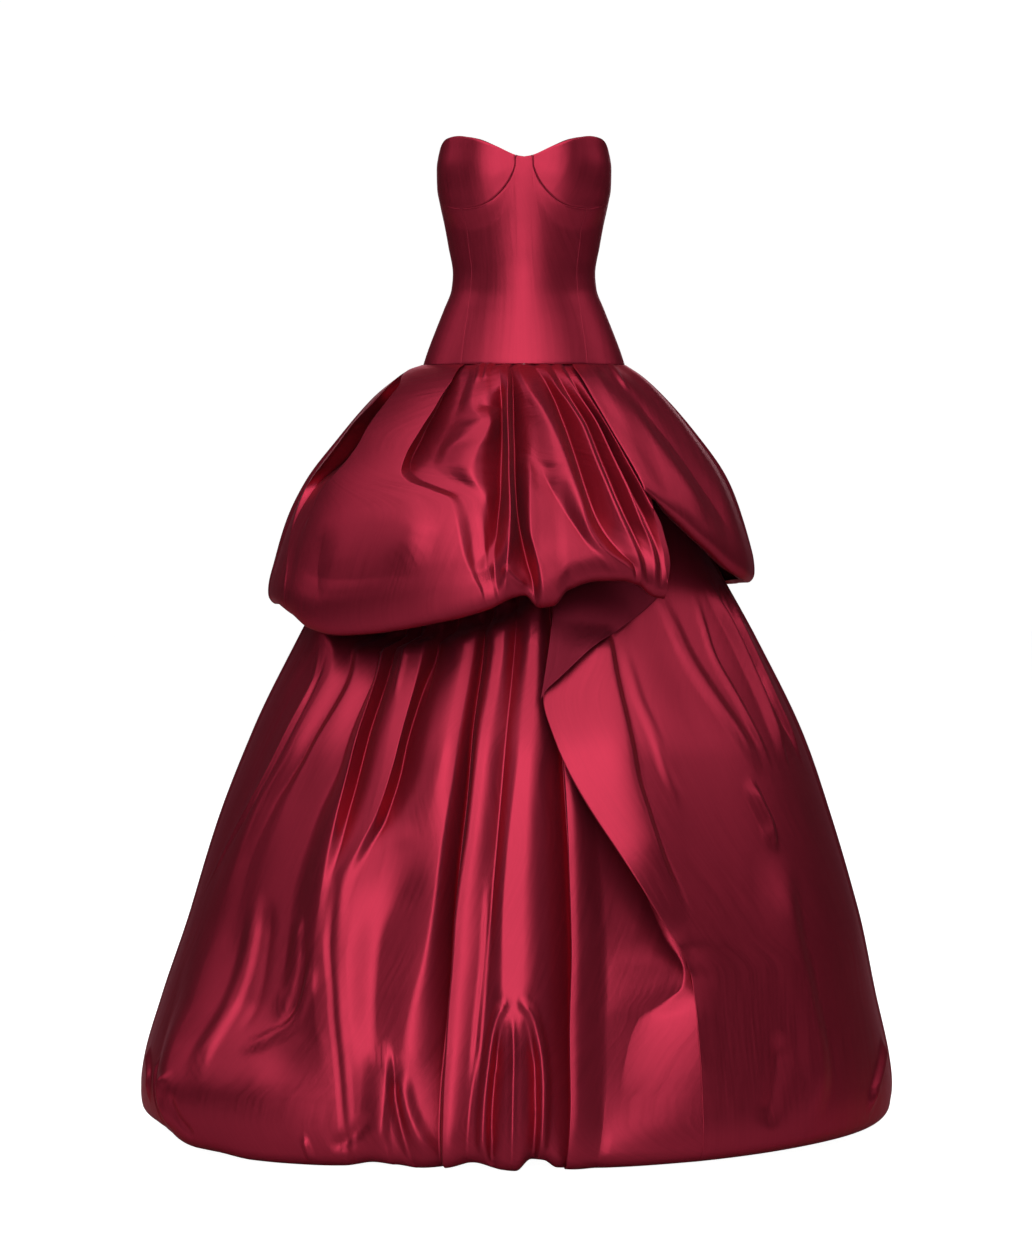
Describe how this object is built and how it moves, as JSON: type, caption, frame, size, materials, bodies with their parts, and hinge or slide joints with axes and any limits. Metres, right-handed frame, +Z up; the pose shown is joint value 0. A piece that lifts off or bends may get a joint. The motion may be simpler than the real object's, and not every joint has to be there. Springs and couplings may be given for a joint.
{
  "type": "ball gown",
  "caption": "Strapless ball gown: boned drop-waist bodice with bust cups, draped bubble overskirt hitched up at one side, full bubble-hem skirt with a wrapped front, hollow for its wearer.",
  "frame": {"origin": "middle of the natural waist, inside the bodice, where the wearer holds the gown up", "axes": "+Z up the wearer's back to the neckline, -Y the front, +X the wearer's left"},
  "size_m": [1.0955, 1.0666, 1.431],
  "materials": {
    "satin": "crimson duchess satin with a stiff backing",
    "zip_tape": "woven tape dyed to match",
    "zip_metal": "lacquered to match"
  },
  "bodies": {
    "gown": {"bodice_centre_front": "satin", "cup_left": "satin", "cup_right": "satin", "bodice_side_left": "satin", "bodice_side_right": "satin", "bodice_back_left": "satin", "bodice_back_right": "satin", "overskirt_front": "satin", "overskirt_side": "satin", "overskirt_back_left": "satin", "overskirt_back_right": "satin", "skirt_front": "satin", "skirt_wrap": "satin", "skirt_back_left": "satin", "skirt_back_right": "satin", "zip_tape": "zip_tape", "zip_slider": "zip_metal"},
    "zip_pull": {"zip_pull": "zip_metal"}
  },
  "joints": [
    {"name": "zip_pull_swing", "type": "hinge", "parent": "gown", "child": "zip_pull", "pos_m": [0, 0.10182, 0.112], "axis": [1, 0, 0], "range_deg": [0, 170]}
  ]
}
